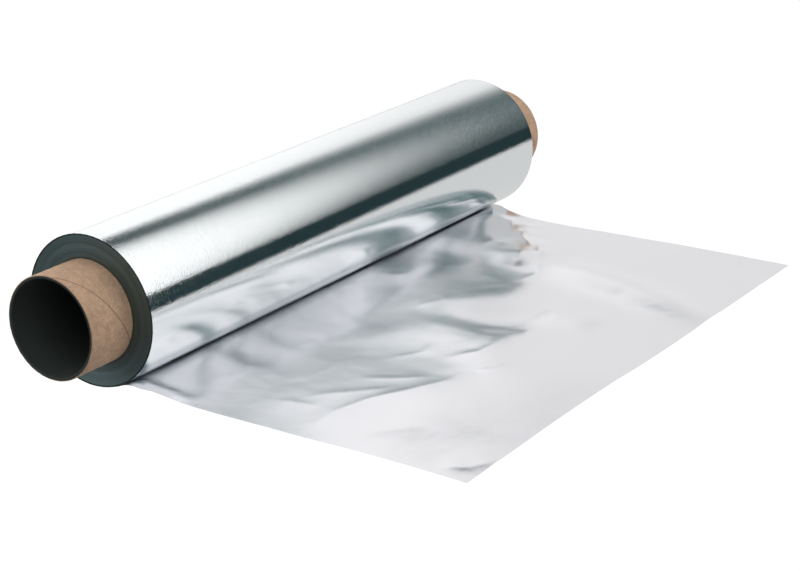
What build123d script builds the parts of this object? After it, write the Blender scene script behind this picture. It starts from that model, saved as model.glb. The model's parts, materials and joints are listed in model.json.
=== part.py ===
"""Aluminium foil roll: one web of foil wound on a paperboard core, its first length drawn off and laid flat.

Frame: +Z up, +X along the roll's axis, and the foil is drawn towards -Y. The origin is on the surface that
the roll lies on, straight below the middle of the roll's axis. Everything is in millimetres.
"""
import os
from math import sqrt

from build123d import *

# Paperboard core
core_outer_diameter = 44.0
core_wall = 1.5
core_overhang = 24.0  # bare core past each end of the wound foil
core_rim_round = 0.3  # the knife leaves the cut rims slightly rounded

# Foil web
foil_width = 300.0
foil_thickness = 0.018
roll_diameter = 65.0
winding_gap = 0.02  # between the core and the first turn
flat_spot_width = 3.0  # the roll's weight presses this much of its underside flat

# Drawn sheet: how far it reaches, and how far its two sides are pulled in from the roll's ends
sheet_reach = 176.0  # from below the roll's axis to the cut edge
gather_start = 10.0  # the sheet keeps its full width up to here
gather_reach = 40.0  # the sides are pulled in most here
left_gather = 6.5
right_gather = 9.0
left_cut_inset = 9.0
right_cut_inset = 0.5

# Worked out from the sizes above
core_length = foil_width + 2 * core_overhang
roll_radius = roll_diameter / 2
axis_height = sqrt(roll_radius**2 - (flat_spot_width / 2) ** 2)
sheet_leaves_y = -sqrt(roll_radius**2 - (axis_height - foil_thickness) ** 2)
cutter_margin = 1.0  # cutters run past what they cut by this much


def trim(side, gather, cut_inset):
    """The strip outside one edge of the drawn sheet, as a closed outline. side is -1 for left, 1 for right."""
    edge = side * foil_width / 2
    outside = edge + side * cutter_margin
    end = -sheet_reach - cutter_margin
    return [
        (edge, -gather_start),
        (edge - side * gather, -gather_reach),
        (edge - side * cut_inset, -sheet_reach),
        (edge - side * cut_inset, end),
        (outside, end),
        (outside, -gather_start),
    ]


# Core: a plain tube, open right through
with BuildPart() as core_tube:
    with BuildSketch(Plane.YZ.offset(-core_length / 2)) as core_section:
        with Locations((0, axis_height)):
            Circle(core_outer_diameter / 2)
            Circle(core_outer_diameter / 2 - core_wall, mode=Mode.SUBTRACT)
    extrude(amount=core_length)
    fillet(core_tube.edges().filter_by(GeomType.CIRCLE), core_rim_round)
core_tube.part.label = "core_tube"

# Foil: the wound turns and the drawn sheet are one web, so its section is one face. The outer turn comes
# down the back of the roll, passes under it and runs on as the sheet.
with BuildPart() as foil_web:
    with BuildSketch(Plane.YZ) as foil_section:
        with BuildLine() as foil_outline:
            turn_start = (flat_spot_width / 2, 0)
            turn_end = (sheet_leaves_y, foil_thickness)
            ThreePointArc(turn_start, (0, axis_height + roll_radius), turn_end)
            Polyline(turn_end, (-sheet_reach, foil_thickness), (-sheet_reach, 0), turn_start)
        make_face()
        with Locations((0, axis_height)):
            Circle(core_outer_diameter / 2 + winding_gap, mode=Mode.SUBTRACT)
    extrude(amount=foil_width / 2, both=True)
    with BuildSketch(Plane.XY.offset(-cutter_margin)) as side_trims:
        for side, gather, cut_inset in (
            (-1, left_gather, left_cut_inset),
            (1, right_gather, right_cut_inset),
        ):
            with BuildLine():
                Polyline(*trim(side, gather, cut_inset), close=True)
            make_face()
    extrude(amount=foil_thickness + 2 * cutter_margin, mode=Mode.SUBTRACT)
foil_web.part.label = "foil_web"

os.makedirs("parts", exist_ok=True)
export_step(core_tube.part, "parts/core_tube.step")
export_step(foil_web.part, "parts/foil_web.step")
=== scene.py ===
"""Aluminium foil roll: the wound foil with its drawn sheet, the paperboard core, and a studio round them.

Lengths are in metres in the part's own frame: +X along the roll's axis, the foil drawn off towards -Y, +Z
up, and the roll lying on z = 0. Angles on the roll are measured round its axis from -Y up to +Z.
"""

import json
from math import asin, cos, hypot, pi, radians, sin, tau

import bmesh
import bpy
import numpy as np
from mathutils import Matrix, Vector, noise


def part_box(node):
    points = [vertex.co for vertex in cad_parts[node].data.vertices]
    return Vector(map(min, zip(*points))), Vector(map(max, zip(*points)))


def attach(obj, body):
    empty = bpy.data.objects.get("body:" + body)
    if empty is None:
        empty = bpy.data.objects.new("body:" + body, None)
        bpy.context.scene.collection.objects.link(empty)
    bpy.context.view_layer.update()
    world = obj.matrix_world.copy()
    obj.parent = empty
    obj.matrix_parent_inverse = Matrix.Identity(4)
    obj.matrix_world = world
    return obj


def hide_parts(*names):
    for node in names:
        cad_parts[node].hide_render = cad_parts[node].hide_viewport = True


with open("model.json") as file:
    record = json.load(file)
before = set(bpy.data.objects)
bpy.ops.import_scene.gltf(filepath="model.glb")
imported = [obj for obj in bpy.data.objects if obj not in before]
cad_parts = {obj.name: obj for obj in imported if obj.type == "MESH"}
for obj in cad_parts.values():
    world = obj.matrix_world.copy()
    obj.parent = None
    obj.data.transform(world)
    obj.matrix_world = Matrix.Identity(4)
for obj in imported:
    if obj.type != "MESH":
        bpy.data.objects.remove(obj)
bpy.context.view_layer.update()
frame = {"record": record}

bl_info = {
    "name": "Aluminium foil roll",
    "version": (1, 0, 0),
    "blender": (4, 5, 0),
    "location": "3D View > Sidebar > Foil roll",
    "description": "Builds a roll of aluminium foil on a paperboard core, with its first length drawn off",
    "category": "Mesh",
}

MM = 0.001

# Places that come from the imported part
mounts = {mount["name"]: mount for mount in frame["record"]["mounts"]}
core_low, core_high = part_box("core_tube")
foil_low, foil_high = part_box("foil_web")
axis_height = mounts["core_bore"]["pos_m"][2]
bore_radius = mounts["core_bore"]["dims"]["r_mm"] * MM
core_radius = (core_high.y - core_low.y) / 2
core_end = core_high.x
roll_radius = foil_high.y
foil_end = foil_high.x
sheet_reach = -foil_low.y


# ---------------------------------------------------------------------------------------------------------
# Settings
# ---------------------------------------------------------------------------------------------------------


class FoilSettings(bpy.types.PropertyGroup):
    thickness: bpy.props.FloatProperty(
        name="Thickness", description="Thickness of the foil", default=0.018 * MM, unit="LENGTH", precision=6
    )
    cell: bpy.props.FloatProperty(
        name="Cell", description="Spacing of the sheet's mesh", default=1.33 * MM, unit="LENGTH", precision=5
    )
    turn_steps: bpy.props.IntProperty(
        name="Turn steps", description="Facets round the outer turn", default=60
    )
    flat_spot: bpy.props.FloatProperty(
        name="Flat spot", description="Width pressed flat by the roll's weight",
        default=3 * MM, unit="LENGTH",
    )
    bright: bpy.props.FloatVectorProperty(
        name="Bright side", description="Colour of the foil's outer side",
        subtype="COLOR", default=(0.885, 0.912, 0.92),
    )
    satin: bpy.props.FloatVectorProperty(
        name="Satin side", description="Colour of the foil's inner side",
        subtype="COLOR", default=(0.836, 0.833, 0.862),
    )
    satin_metal: bpy.props.FloatProperty(
        name="Satin mirror", default=0.88,
        description="Share of the satin side's light that it mirrors; the rest it scatters",
    )
    edges: bpy.props.FloatVectorProperty(
        name="Edges", description="Colour of the stacked foil edges at the ends",
        subtype="COLOR", default=(0.1, 0.145, 0.15),
    )


class CoreSettings(bpy.types.PropertyGroup):
    seam_turn: bpy.props.FloatProperty(
        name="Seam pitch", description="Length of core in which a ply's seam goes once round",
        default=81 * MM, unit="LENGTH",
    )
    seam_start: bpy.props.FloatProperty(
        name="Seam start", description="Angle of the seam at the core's -X rim",
        default=radians(84), subtype="ANGLE",
    )
    rim_round: bpy.props.FloatProperty(
        name="Rim rounding", description="Radius of the cut rims",
        default=0.3 * MM, unit="LENGTH", precision=5,
    )
    kraft: bpy.props.FloatVectorProperty(
        name="Kraft", description="Colour of the outer ply", subtype="COLOR", default=(0.64, 0.418, 0.278)
    )
    # The liner colour is near black: the inner ply's grey with the bore's shade painted in. It also colours
    # the cut rims.
    liner_and_shade: bpy.props.FloatVectorProperty(
        name="Liner", description="Colour of the inner ply", subtype="COLOR", default=(0.034, 0.044, 0.04)
    )


class StudioSettings(bpy.types.PropertyGroup):
    white: bpy.props.FloatProperty(name="White", description="Brightness of the rear wall", default=1.06)
    softbox: bpy.props.FloatProperty(name="Softbox", description="Brightness of the softbox", default=1.15)
    gloom: bpy.props.FloatVectorProperty(
        name="Gloom", description="Colour of the unlit room", subtype="COLOR", default=(0.118, 0.153, 0.156)
    )
    dark: bpy.props.FloatVectorProperty(
        name="Dark cloth", description="Colour of the dark cloth low in front",
        subtype="COLOR", default=(0.018, 0.036, 0.04),
    )
    table: bpy.props.FloatProperty(
        name="Table", description="Brightness of the table in reflections", default=0.67
    )
    table_front: bpy.props.FloatProperty(
        name="Table front", description="How far the table reaches in front of the roll",
        default=0.31, unit="LENGTH",
    )
    lens: bpy.props.FloatProperty(name="Lens", description="Focal length in millimetres", default=94.98)


# ---------------------------------------------------------------------------------------------------------
# Shader maths
# ---------------------------------------------------------------------------------------------------------


class Value:
    """An output socket. Sums on it add Math nodes to its tree."""

    def __init__(self, maker, socket):
        self.maker = maker
        self.socket = socket

    def __add__(self, other):
        return self.maker.math("ADD", self, other)

    def __radd__(self, other):
        return self.maker.math("ADD", other, self)

    def __sub__(self, other):
        return self.maker.math("SUBTRACT", self, other)

    def __rsub__(self, other):
        return self.maker.math("SUBTRACT", other, self)

    def __mul__(self, other):
        return self.maker.math("MULTIPLY", self, other)

    def __rmul__(self, other):
        return self.maker.math("MULTIPLY", other, self)

    def __truediv__(self, other):
        return self.maker.math("DIVIDE", self, other)

    def __pow__(self, other):
        return self.maker.math("POWER", self, other)

    def __neg__(self):
        return self.maker.math("MULTIPLY", self, -1)

    def __abs__(self):
        return self.maker.math("ABSOLUTE", self)


class NodeMaker:
    """Adds nodes to one shader tree."""

    def __init__(self, tree):
        self.tree = tree
        tree.nodes.clear()

    def node(self, kind, settings=None, output=0, **sockets):
        """Adds a node, its settings first and then its sockets, and gives one output, by number or name.

        A socket is named with _ for a space, or with s and its number.
        """
        made = self.tree.nodes.new("ShaderNode" + kind)
        for name, value in (settings or {}).items():
            if name == "stops":
                self.set_stops(made.color_ramp, value)
            else:
                setattr(made, name, value)
        for name, value in sockets.items():
            place = int(name[1:]) if name[1:].isdigit() else name.replace("_", " ")
            if isinstance(value, Value):
                self.tree.links.new(value.socket, made.inputs[place])
            elif value is not None:
                made.inputs[place].default_value = value
        return Value(self, made.outputs[output]) if made.outputs else made

    def set_stops(self, ramp, stops):
        while len(ramp.elements) < len(stops):
            ramp.elements.new(1.0)
        for element, (place, colour) in zip(ramp.elements, stops):
            element.position = place
            element.color = (*colour, 1.0)

    def math(self, operation, first, second=None):
        return self.node("Math", {"operation": operation}, s0=first, s1=second)

    def step(self, value, low, high):
        """0 up to low and 1 from high on, with a smooth change between. high may be the lower of the two."""
        return self.node(
            "MapRange", {"interpolation_type": "SMOOTHSTEP"},
            Value=value, From_Min=low, From_Max=high, To_Min=0.0, To_Max=1.0,
        )

    def mix(self, factor, first, second):
        """Mixes two colours."""
        first, second = (c if isinstance(c, Value) else (*c, 1.0) for c in (first, second))
        return self.node("Mix", {"data_type": "RGBA"}, 2, s0=factor, s6=first, s7=second)

    def scaled(self, vector, factors):
        return self.node("VectorMath", {"operation": "MULTIPLY"}, s0=vector, s1=factors)

    def noise(self, vector, scale, detail=2.0, rough=0.5):
        return self.node(
            "TexNoise", {"noise_dimensions": "3D"},
            Vector=vector, Scale=scale, Detail=detail, Roughness=rough,
        )

    def bump(self, height, distance, strength=1.0):
        return self.node("Bump", Strength=strength, Distance=distance, Height=height)

    def place(self):
        """Where a point is in the part's frame."""
        return self.node("TexCoord", None, "Object")

    def parts(self, vector):
        """The X, Y and Z of a vector."""
        split = self.node("SeparateXYZ", Vector=vector)
        return [Value(self, socket) for socket in split.socket.node.outputs]

    def from_axis(self, place):
        """Where a place is from the roll's axis: along it, towards +Y, upwards, and straight out."""
        x, y, z = self.parts(place)
        up = z - axis_height
        return x, y, up, self.math("SQRT", y * y + up * up)

    def seen(self):
        """1 for what the camera looks straight at, and 0 for what it sees in reflections."""
        return self.node("LightPath", None, "Is Camera Ray")

    def surface(self, shader):
        self.node("OutputMaterial", Surface=shader)


def new_material(name):
    material = bpy.data.materials.new(name)
    material.use_nodes = True
    return material, NodeMaker(material.node_tree)


def tinted(colour, share):
    """A lighter or darker colour."""
    return [share * c for c in colour]


# ---------------------------------------------------------------------------------------------------------
# Finishes
# ---------------------------------------------------------------------------------------------------------


def bright_foil(settings):
    """The foil's outer side: a near mirror, with the fine grain that the rolling mill leaves."""
    material, make = new_material("bright_foil")
    place = make.place()
    grain = make.noise(place, 1900.0, 0.0)
    make.surface(make.node(
        "BsdfPrincipled", Base_Color=(*settings.bright, 1), Metallic=1.0,
        Roughness=0.055 + 0.05 * make.noise(place, 60.0), Normal=make.bump(grain, 0.027 * MM),
    ))
    return material


def satin_foil(settings):
    """The foil's inner side, which the mill leaves matt."""
    material, make = new_material("satin_foil")
    place = make.place()
    crinkle = make.noise(place, 90.0, 4.0)
    grain = make.noise(make.scaled(place, (1.0, 0.3, 1.0)), 1200.0)
    make.surface(make.node(
        "BsdfPrincipled", Base_Color=(*settings.satin, 1), Metallic=settings.satin_metal,
        Roughness=0.15 + 0.08 * make.noise(place, 45.0, 3.0),
        Normal=make.bump(0.9 * crinkle + 0.08 * grain, 0.12 * MM),
    ))
    return material


def foil_edges(settings):
    """The stacked edges of the turns: charcoal and in fine rings, with painted shade darkening the outer
    rim.
    """
    material, make = new_material("foil_edges")
    radius = make.from_axis(make.place())[-1]
    across = make.node("CombineXYZ", X=radius, Y=0.0, Z=0.0)
    rings = make.noise(across, 2600.0, 3.0, 0.7)
    bands = make.noise(across, 420.0, 2.0)
    # Painted shade: the outer millimetre of the end faces is darkened to a near-black outline.
    rim = make.step(radius, roll_radius - 1.1 * MM, roll_radius - 0.4 * MM)
    shade = make.mix(bands, tinted(settings.edges, 0.55), tinted(settings.edges, 1.5))
    shade = make.mix(rim, shade, tinted(settings.edges, 0.15))
    make.surface(make.node(
        "BsdfPrincipled", Base_Color=shade, Metallic=0.85, Roughness=0.34, Normal=make.bump(rings, 0.2 * MM),
    ))
    return material


def paperboard(settings):
    """The core: mottled kraft outside with the dark line of its seam. The bore and the cut rims are near
    black: a grey liner with painted shade.
    """
    material, make = new_material("kraft_paperboard")
    place = make.place()
    x, y, up, radius = make.from_axis(place)
    turned = make.math("ARCTAN2", up, -y)
    phase = (turned - settings.seam_start) / tau + (x + core_end) / settings.seam_turn
    off_seam = abs(make.math("FRACT", phase + 0.5) - 0.5)
    seam = 1 - make.step(off_seam, 0.0012, 0.0032)
    mottle = make.noise(place, 260.0, 4.0, 0.6)
    fibres = make.noise(make.scaled(place, (1.0, 0.6, 0.6)), 1500.0, 2.0, 0.6)
    patches = make.noise(place, 70.0, 2.0)
    stops = (
        (0.32, tinted(settings.kraft, 0.66)),
        (0.52, settings.kraft),
        (0.70, tinted(settings.kraft, 1.35)),
    )
    kraft = make.node("ValToRGB", {"stops": stops}, Fac=0.35 * mottle + 0.45 * fibres + 0.2 * patches)
    kraft = make.mix(seam * 0.75, kraft, tinted(settings.kraft, 0.18))
    # Painted shade: the bore and the cut rims take the near-black liner colour.
    shaded_bore_and_rims = 1 - make.step(radius, core_radius - 0.5 * MM, core_radius - 0.2 * MM)
    make.surface(make.node(
        "BsdfPrincipled", Base_Color=make.mix(shaded_bore_and_rims, kraft, settings.liner_and_shade), Roughness=0.88,
        Normal=make.bump(0.5 * mottle + 0.5 * fibres, 0.15 * MM, 0.6),
    ))
    return material


# ---------------------------------------------------------------------------------------------------------
# The drawn sheet's shape, with places and heights in millimetres
# ---------------------------------------------------------------------------------------------------------

# How far each side of the sheet is pulled in from the roll's end: distance from the roll, then the pull
LEFT_PULL = ((0, 0), (12, 1), (28, 4.5), (100, 4), (176, 4.5))
RIGHT_PULL = ((0, 0), (12, 4), (24, 9), (50, 10), (100, 8.5), (140, 6.5), (176, 3.5))

# How high the sheet lies at distances from the roll: out of the crevice, then almost flat
LIE = (
    (0, 0), (6, 0.45), (10, 1.3), (14, 2.2), (18, 2.6), (24, 1.9), (30, 1.0), (38, 0.45), (48, 0.5),
    (62, 0.7), (80, 1.0), (100, 1.2), (125, 1.5), (150, 1.3), (176, 0.8),
)

# Broad folds: the points along each crest, its height, and how far it falls away on the side to the left of
# its run and on the side to the right
FOLDS = (
    (((50, -4), (34, -40), (14, -66), (10, -112)), 3.7, 30, 30),
    (((84, -4), (84, -48), (78, -88)), 3.0, 24, 16),
    (((-26, -4), (-24, -66)), 0.4, 24, 44),
    (((-16, -56), (-22, -80), (-19, -134)), 1.7, 13, 22),
    (((-102, -4), (-104, -66)), 1.3, 10, 32),
    (((-74, -10), (-78, -74)), 0.3, 6, 12),
    (((-44, -44), (-38, -76)), 0.45, 9, 14),
    (((126, -4), (122, -46)), 1.3, 8, 20),
    (((-152, -116), (-70, -138), (10, -134)), 2.6, 36, 44),
    (((-156, -4), (-143, -20), (-141, -50)), 1.6, 5, 5),
    (((90, -60), (73, -132), (50, -190)), 2.2, 12, 14),
    (((24, -106), (26, -144)), 0.8, 12, 12),
)

# Creases, given as the folds are
CREASES = (
    (((-142, -98), (-120, -99), (-105, -104), (-90, -113), (-75, -120), (-58, -124)), 0.6, 3, 9),
    (((-112, -60), (-86, -70), (-64, -68)), 0.2, 2.5, 5),
    (((-64, -84), (-48, -94), (-36, -92)), 0.3, 2.5, 5),
    (((-124, -36), (-110, -44), (-96, -42)), 0.35, 3, 6),
    (((-72, -44), (-58, -50), (-46, -46)), 0.3, 2.5, 5),
    (((-8, -62), (6, -70), (14, -66)), 0.35, 2.5, 5),
    (((-117, -77), (-105, -88), (-95, -100), (-85, -109)), 0.4, 2.5, 6),
    (((-88, -85), (-80, -100), (-71, -114)), 0.35, 2.5, 6),
    (((-52, -106), (-38, -116), (-28, -117), (-16, -112)), 0.5, 2.5, 7),
    (((-10, -126), (0, -115)), 0.3, 4, 3),
    (((-138, -113), (-125, -128), (-112, -141)), 0.25, 8, 5),
    (((-58, -125), (-52, -132), (-43, -134)), 0.3, 2.5, 5),
    (((-34, -36), (-26, -46)), 0.3, 2.5, 5),
    (((20, -26), (26, -40)), 0.4, 3, 6),
    (((-122, -70), (-118, -92)), 0.3, 3, 8),
    (((50, -82), (66, -84), (84, -74)), 0.4, 3, 4),
    (((66, -72), (78, -68), (90, -60)), 0.4, 3, 3),
    (((94, -66), (108, -52), (124, -40)), 0.9, 3, 3.5),
    (((110, -54), (122, -46), (136, -44)), 0.8, 3, 3.5),
    (((84, -76), (98, -68), (112, -62)), 0.8, 3, 3.5),
    (((102, -48), (118, -38), (136, -30)), 0.9, 3, 3.5),
    (((116, -32), (132, -20), (144, -14)), 0.9, 3, 3.5),
    (((90, -40), (92, -54)), 0.4, 3, 5),
    (((-142, -158), (-134, -170), (-118, -178)), 0.5, 6, 5),
)
ROUNDED, SHARP = 2, 1


def ease(share):
    """Makes a straight rise from 0 to 1 a smooth one."""
    share = np.clip(share, 0, 1)
    return share * share * (3 - 2 * share)


def ridges(x, y, lines, top):
    """The height that ridges add at each place. Each fades out over its first and last third or so."""
    total = np.zeros_like(x)
    for points, height, left, right in lines:
        nearest = np.full_like(x, 1e9)
        side = np.zeros_like(x)
        along = np.zeros_like(x)
        lengths = [hypot(b[0] - a[0], b[1] - a[1]) for a, b in zip(points, points[1:])]
        gone = 0.0
        for (ax, ay), (bx, by), length in zip(points, points[1:], lengths):
            ux, uy = (bx - ax) / length, (by - ay) / length
            run = np.clip((x - ax) * ux + (y - ay) * uy, 0, length)
            dx, dy = x - ax - run * ux, y - ay - run * uy
            distance = np.hypot(dx, dy)
            closer = distance < nearest
            nearest = np.where(closer, distance, nearest)
            side = np.where(closer, ux * dy - uy * dx, side)
            along = np.where(closer, (gone + run) / sum(lengths), along)
            gone += length
        spread = np.where(side > 0, left, right)
        fade = ease(np.minimum(along, 1 - along) / 0.36)
        total += height * fade * np.exp(-((nearest / spread) ** top))
    return total


def smooth_run(places, values, at):
    """A smooth curve through values at rising places."""
    places, values = np.array(places, float), np.array(values, float)
    slopes = np.gradient(values, places)
    k = np.clip(np.searchsorted(places, at) - 1, 0, len(places) - 2)
    gap = places[k + 1] - places[k]
    t = (at - places[k]) / gap
    return (
        (1 + 2 * t) * (1 - t) ** 2 * values[k] + t * (1 - t) ** 2 * gap * slopes[k]
        + t * t * (3 - 2 * t) * values[k + 1] + t * t * (t - 1) * gap * slopes[k + 1]
    )


def swell(x, y, across, along, layer):
    """Smooth random waves, with how often they rise across and along the sheet for each millimetre."""
    return np.array([noise.noise((a * across, b * along, layer)) for a, b in zip(x, y)])


def lie(x, y):
    """The height of the drawn sheet's underside at each place, in metres: its waves, folds and creases."""
    x, y = x / MM, y / MM
    drawn = np.clip(-y, 0, None)
    base = smooth_run(*zip(*LIE), drawn)
    free = ease((drawn - 3) / 14)
    near = np.exp(-(((drawn - 40) / 45) ** 2))
    waves = 0.5 * base * swell(x, y, 0.013, 0.006, 3.7)
    waves += (0.08 + 0.22 * near) * swell(x, y, 0.05, 0.022, 9.1)
    waves += (0.015 + 0.03 * near) * swell(x, y, 0.14, 0.10, 1.3)
    height = base + free * (waves + ridges(x, y, FOLDS, ROUNDED) + ridges(x, y, CREASES, SHARP))
    radius = roll_radius / MM
    under_roll = radius - np.sqrt(np.clip(radius * radius - drawn * drawn, 0, None))
    return np.clip(height, 0, 0.85 * under_roll) * MM


def pull_in(x, drawn):
    """Where a point of the flat web lies across the sheet once its sides are pulled in."""
    left = np.interp(drawn / MM, *zip(*LEFT_PULL)) * MM
    right = np.interp(drawn / MM, *zip(*RIGHT_PULL)) * MM
    share = (x + foil_end) / (2 * foil_end)
    return -foil_end + left + share * (2 * foil_end - left - right)


# ---------------------------------------------------------------------------------------------------------
# Pieces
# ---------------------------------------------------------------------------------------------------------

BRIGHT, SATIN, EDGES = range(3)
CORE_COLUMNS = 144


def finish_piece(name, shape, materials, replaced):
    """Turns a bmesh into a piece of the roll."""
    mesh = bpy.data.meshes.new(name)
    shape.to_mesh(mesh)
    shape.free()
    for material in materials:
        mesh.materials.append(material)
    piece = bpy.data.objects.new(name, mesh)
    bpy.context.scene.collection.objects.link(piece)
    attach(piece, "root")
    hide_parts(replaced)


def spin_round(shape, edges, angle, steps, merge):
    """Spins edges round the roll's axis."""
    verts = dict.fromkeys(v for e in edges for v in e.verts)
    bmesh.ops.spin(
        shape, geom=[*edges, *verts], cent=(0, 0, axis_height), axis=(1, 0, 0),
        angle=angle, steps=steps, use_merge=merge,
    )


def closed_chain(shape, points):
    """A closed run of edges through points given as (x, distance below the roll's axis)."""
    verts = [shape.verts.new((x, 0, axis_height - r)) for x, r in points]
    return [shape.edges.new(pair) for pair in zip(verts, verts[1:] + verts[:1])]


def round_turn(verts, settings):
    """Draws the outer turn in a little as it goes round, with faint dents."""
    for vert in verts:
        y, z = vert.co.y, vert.co.z - axis_height
        turned = np.arctan2(y, -z) % tau
        dent = noise.noise((vert.co.x / (38 * MM), 1.7 * cos(turned), 1.7 * sin(turned)))
        radius = hypot(y, z) - settings.thickness * 2.5 * turned / tau
        radius += 0.02 * MM * dent * min(1, 6 * sin(turned / 2))
        vert.co.y, vert.co.z = radius * sin(turned), axis_height - radius * cos(turned)


def lay_sheet(verts):
    """Pulls the sheet's sides in and lifts it into its folds."""
    places = np.array([v.co for v in verts])
    x, y = places[:, 0], places[:, 1]
    x = pull_in(x, np.clip(-y, 0, None))
    for vert, across, height in zip(verts, x, lie(x, y)):
        vert.co.x = across
        vert.co.z += height


def thicken(shape, settings):
    """Gives the web its thickness: satin on the side it has now, bright on the other, and sharp edges."""
    inner = set(shape.faces)
    made = bmesh.ops.solidify(shape, geom=shape.faces[:], thickness=settings.thickness)
    outer = {g for g in made["geom"] if isinstance(g, bmesh.types.BMFace)}
    for face in shape.faces:
        face.material_index = SATIN if face in inner else BRIGHT
        face.smooth = face in inner or face in outer
        if not face.smooth:
            for edge in face.edges:
                edge.smooth = False


def draw_web(shape, settings):
    """The drawn sheet, whose rear edge is spun on round the roll as the outer turn, as one thin shell."""
    half_flat = settings.flat_spot / 2
    length = sheet_reach + half_flat
    columns = round(2 * foil_end / settings.cell)
    rows = round(length / settings.cell)
    bmesh.ops.create_grid(shape, x_segments=columns, y_segments=rows, size=0.5)
    bmesh.ops.scale(shape, vec=(2 * foil_end, length, 1), verts=shape.verts)
    bmesh.ops.translate(shape, vec=(0, half_flat - length / 2, settings.thickness), verts=shape.verts)
    sheet = shape.verts[:]
    rear = [e for e in shape.edges if all(v.co.y > half_flat - settings.cell / 2 for v in e.verts)]
    once_round = tau - 2 * asin(half_flat / roll_radius)
    spin_round(shape, rear, once_round, settings.turn_steps, False)
    round_turn(set(shape.verts) - set(sheet), settings)
    lay_sheet(sheet)
    thicken(shape, settings)


def wind_turns(shape, settings):
    """The turns below the outer one, as one closed ring whose ends show the turns' uneven edges."""
    rings = 14
    facets = 128
    most_set_back = 0.22 * MM
    rng = np.random.default_rng(12)
    set_back = rng.uniform(0, most_set_back, (2, rings + 1))
    radii = np.linspace(core_radius + 0.02 * MM, roll_radius - 0.1 * MM, rings + 1)
    low = [(-foil_end + back, r) for back, r in zip(set_back[0], radii)]
    high = [(foil_end - back, r) for back, r in zip(set_back[1], radii)]
    other_faces = set(shape.faces)
    other_verts = set(shape.verts)
    spin_round(shape, closed_chain(shape, low + high[::-1]), tau, facets, True)
    made = [f for f in shape.faces if f not in other_faces]
    bmesh.ops.recalc_face_normals(shape, faces=made)
    lowest = 4 * settings.thickness
    for vert in set(shape.verts) - other_verts:
        vert.co.z = max(vert.co.z, lowest)
    for face in made:
        face.material_index = EDGES
        face.smooth = True


def build_foil(settings):
    shape = bmesh.new()
    draw_web(shape, settings)
    wind_turns(shape, settings)
    materials = [bright_foil(settings), satin_foil(settings), foil_edges(settings)]
    finish_piece("foil", shape, materials, "foil_web")


def core_outline(settings, hidden):
    """The core's wall as (x, radius): close points where it is bare, wider apart where foil hides it."""
    rim = settings.rim_round
    end = core_end - rim
    bare_run = np.linspace(hidden, core_end, 46)
    middle = np.linspace(-hidden, hidden, 40)[1:-1]
    stations = [x for x in (*(-bare_run[::-1]), *middle, *bare_run) if abs(x) < end]

    def corner(side, radius, outward):
        centre = radius - outward * rim
        return [
            (side * (end + rim * sin(a)), centre + outward * rim * cos(a))
            for a in (0, pi / 6, pi / 3, pi / 2)
        ]

    outer = [(x, core_radius) for x in stations]
    inner = [(x, bore_radius) for x in stations[::-1]]
    return [
        *outer, *corner(1, core_radius, 1), *corner(1, bore_radius, -1)[::-1],
        *inner, *corner(-1, bore_radius, -1), *corner(-1, core_radius, 1)[::-1],
    ]


def twist_core(shape, settings, hidden):
    """Turns the mesh with the seam, a groove along its first column, and wears the wall and the rims."""
    rim = settings.rim_round
    groove_half = 0.3  # of a column
    narrowed = {1: groove_half, CORE_COLUMNS - 1: CORE_COLUMNS - groove_half}
    skipped = round(2 * hidden / settings.seam_turn)  # whole turns that the mesh leaves out under the foil
    for vert in shape.verts:
        x, y, z = vert.co.x, vert.co.y, vert.co.z - axis_height
        radius = hypot(y, z)
        column = round((np.arctan2(z, -y) % tau) / tau * CORE_COLUMNS) % CORE_COLUMNS
        offset = narrowed.get(column, column) / CORE_COLUMNS
        turns = (x + core_end) / settings.seam_turn - skipped * np.clip((x + hidden) / (2 * hidden), 0, 1)
        angle = settings.seam_start + tau * (offset - turns)
        if radius > core_radius - rim:
            radius -= 0.16 * MM * (column == 0)
            radius += 0.05 * MM * noise.noise((x / (4 * MM), y / (4 * MM), z / (4 * MM)))
        if abs(x) > core_end - rim:
            vert.co.x += 0.12 * MM * noise.noise((y / (2 * MM), z / (2 * MM), x)) - 0.05 * MM * np.sign(x)
        vert.co.y, vert.co.z = -radius * cos(angle), axis_height + radius * sin(angle)


def build_core(settings):
    """The core: its wall's outline spun round the axis, then twisted so that the seam follows the mesh."""
    shape = bmesh.new()
    hidden = foil_end - 4 * MM
    spin_round(shape, closed_chain(shape, core_outline(settings, hidden)), tau, CORE_COLUMNS, True)
    bmesh.ops.recalc_face_normals(shape, faces=shape.faces)
    twist_core(shape, settings, hidden)
    for face in shape.faces:
        face.smooth = True
    finish_piece("core", shape, [paperboard(settings)], "core_tube")


# ---------------------------------------------------------------------------------------------------------
# Studio
# ---------------------------------------------------------------------------------------------------------

BLACK = (0.0, 0.0, 0.0)


def build_floor(settings):
    """A pale table, pure white to the camera. Mirrored, it is dimmer in front, and past the roll's -X end it
    has a painted shadow.
    """
    half = 3.0
    shape = bmesh.new()
    bmesh.ops.create_grid(shape, x_segments=1, y_segments=1, size=half)
    bmesh.ops.translate(shape, vec=(0, half - settings.table_front, -0.05 * MM), verts=shape.verts)
    mesh = bpy.data.meshes.new("floor")
    shape.to_mesh(mesh)
    shape.free()
    floor = bpy.data.objects.new("floor", mesh)
    bpy.context.scene.collection.objects.link(floor)
    material, make = new_material("pale_table")
    x, y, z = make.parts(make.place())
    rear = make.step(y, 0.0, 60 * MM)
    lit = settings.table + (settings.white - settings.table) * rear
    # Painted shadow: past the roll's -X end the table's light drops to 0.3, for the end faces to mirror.
    lit = lit * (0.3 + 0.7 * make.step(x, -foil_end - 20 * MM, -foil_end))
    level = lit + (settings.white - lit) * make.seen()
    make.surface(make.node("Emission", Color=(1, 1, 1, 1), Strength=level))
    mesh.materials.append(material)


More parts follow.
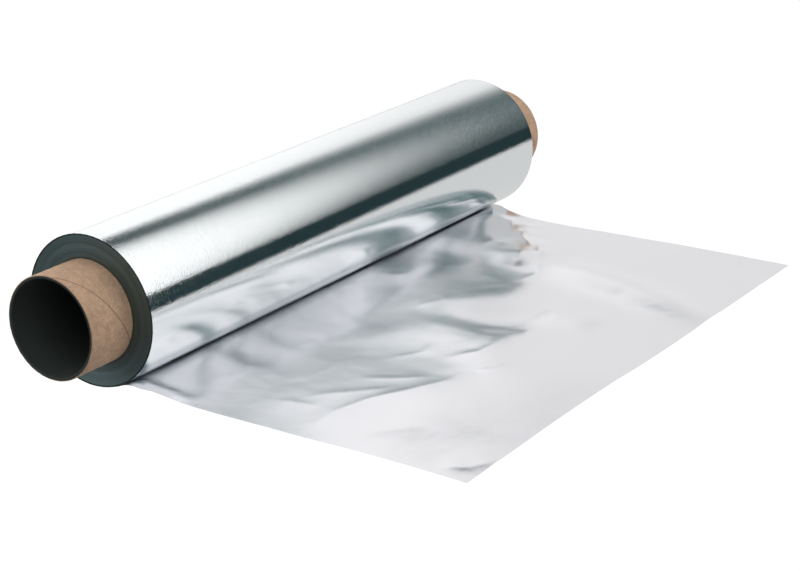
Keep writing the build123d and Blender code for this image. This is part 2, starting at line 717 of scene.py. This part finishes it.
def paint_wall(make, settings, turn, height):
    """The white rear wall and ceiling: where they show, and their light. They reach forward at the ends."""
    edge = make.math("MINIMUM", 43.4 + 1.85 * turn, 127.0)
    softness = make.math("MAXIMUM", 4 + (45 - turn) * 1.2, 3.0)
    shows = make.step((height - edge) / softness, -1.0, 1.0)
    end_white, side_white = ([share * settings.white] * 3 for share in (0.84, 1.03))
    light = make.mix(make.step(turn, 33, 42), end_white, side_white)
    falling = make.step(height - edge, 35, -15) * make.step(turn, 42, 38) * 0.3
    return shows, make.mix(falling, light, BLACK)


def paint_front(make, settings, turn, height):
    """The gloomy front, its softbox and a low dark cloth, all vaguer in second and later reflections."""
    again = make.step(make.node("LightPath", None, "Ray Depth"), 2.2, 2.8)
    gloom = make.mix(make.step(height, 5, 62), tinted(settings.gloom, 0.52), settings.gloom)
    gloom = make.mix(0.45 * make.step(turn, 40, 45), gloom, BLACK)
    gloom = make.mix(again, gloom, [share * c for share, c in zip((0.4, 0.85, 0.85), settings.gloom)])
    aside = (turn - 60) / 21.6
    upward = (height - 54) / (62.5 + 40 * again)
    off_centre = make.math("SQRT", aside ** 2 + upward ** 2)
    blur = 0.2 - 0.11 * make.step(turn, 38, 45) * (1 - again) + 0.32 * again
    softbox = 1 - make.step(off_centre, 1 - blur, 1 + blur)
    cloth = (1 - make.step(height, 16.3, 17.7)) * (1 - make.step(turn, 46, 52)) * (1 - 0.75 * again)
    return make.mix(cloth, make.mix(softbox, gloom, [settings.softbox] * 3), settings.dark)


def build_room(settings):
    """The studio that the foil mirrors, painted on the world.

    A direction's turn is its angle from the roll's axis. Its height is its angle round the axis, from level
    in front, up over the roll and down behind it. Both are in degrees.
    """
    world = bpy.data.worlds.new("studio")
    bpy.context.scene.world = world
    world.use_nodes = True
    make = NodeMaker(world.node_tree)
    x, y, z = make.parts(make.node("TexCoord", None, "Generated"))
    degrees = 180 / pi
    height = make.math("ARCTAN2", z, -y) * degrees
    turn = make.math("ARCCOSINE", abs(x)) * degrees
    wall, wall_light = paint_wall(make, settings, turn, height)
    room = make.mix(wall, paint_front(make, settings, turn, height), wall_light)
    room = make.mix(make.seen(), room, (1.02, 1.02, 1.02))
    make.node("OutputWorld", Surface=make.node("Background", Color=room, Strength=1.0))


def build_camera(settings):
    """A long lens from the -X end, a little above the roll."""
    azimuth, elevation, roll = (radians(angle) for angle in (-56.808, 19.959, 0.397))
    target = Vector((20.4, -37.5, 0)) * MM
    distance = 976.2 * MM
    back = Vector((sin(azimuth) * cos(elevation), -cos(azimuth) * cos(elevation), sin(elevation)))
    right = Vector((cos(azimuth), sin(azimuth), 0))
    up = back.cross(right)
    axes = (cos(roll) * right + sin(roll) * up, cos(roll) * up - sin(roll) * right, back)
    data = bpy.data.cameras.new("camera")
    data.lens = settings.lens
    data.sensor_width = 36.0
    data.clip_start = 0.05
    data.clip_end = 50.0
    camera = bpy.data.objects.new("camera", data)
    camera.matrix_world = Matrix.Translation(target + back * distance) @ Matrix(axes).transposed().to_4x4()
    bpy.context.scene.collection.objects.link(camera)
    bpy.context.scene.camera = camera


# ---------------------------------------------------------------------------------------------------------
# Operators and panel
# ---------------------------------------------------------------------------------------------------------


class FOILROLL_OT_core(bpy.types.Operator):
    """Adds the spiral-wound paperboard core"""

    bl_idname = "foilroll.core"
    bl_label = "Add core"

    def execute(self, context):
        build_core(context.scene.foilroll_core)
        return {"FINISHED"}


class FOILROLL_OT_foil(bpy.types.Operator):
    """Adds the wound foil and its drawn sheet"""

    bl_idname = "foilroll.foil"
    bl_label = "Add foil"

    def execute(self, context):
        build_foil(context.scene.foilroll_foil)
        return {"FINISHED"}


class FOILROLL_OT_studio(bpy.types.Operator):
    """Adds the table, the studio's light and the camera"""

    bl_idname = "foilroll.studio"
    bl_label = "Add studio"

    def execute(self, context):
        settings = context.scene.foilroll_studio
        build_floor(settings)
        build_room(settings)
        build_camera(settings)
        context.scene.view_settings.view_transform = "Standard"
        context.scene.cycles.max_bounces = 24
        context.scene.cycles.glossy_bounces = 24
        return {"FINISHED"}


class FOILROLL_PT_panel(bpy.types.Panel):
    """Lists the roll's pieces and their sizes"""

    bl_idname = "FOILROLL_PT_panel"
    bl_label = "Foil roll"
    bl_space_type = "VIEW_3D"
    bl_region_type = "UI"
    bl_category = "Foil roll"

    def draw(self, context):
        for operator, group, settings in GROUPS:
            column = self.layout.column(align=True)
            column.operator(operator.bl_idname)
            for name in settings.__annotations__:
                column.prop(getattr(context.scene, group), name)


GROUPS = (
    (FOILROLL_OT_core, "foilroll_core", CoreSettings),
    (FOILROLL_OT_foil, "foilroll_foil", FoilSettings),
    (FOILROLL_OT_studio, "foilroll_studio", StudioSettings),
)


def register():
    for operator, group, settings in GROUPS:
        bpy.utils.register_class(settings)
        bpy.utils.register_class(operator)
        setattr(bpy.types.Scene, group, bpy.props.PointerProperty(type=settings))
    bpy.utils.register_class(FOILROLL_PT_panel)


def unregister():
    bpy.utils.unregister_class(FOILROLL_PT_panel)
    for operator, group, settings in reversed(GROUPS):
        delattr(bpy.types.Scene, group)
        bpy.utils.unregister_class(operator)
        bpy.utils.unregister_class(settings)


def main():
    register()
    bpy.ops.foilroll.core()
    bpy.ops.foilroll.foil()
    bpy.ops.foilroll.studio()


if __name__ == "__main__":
    main()
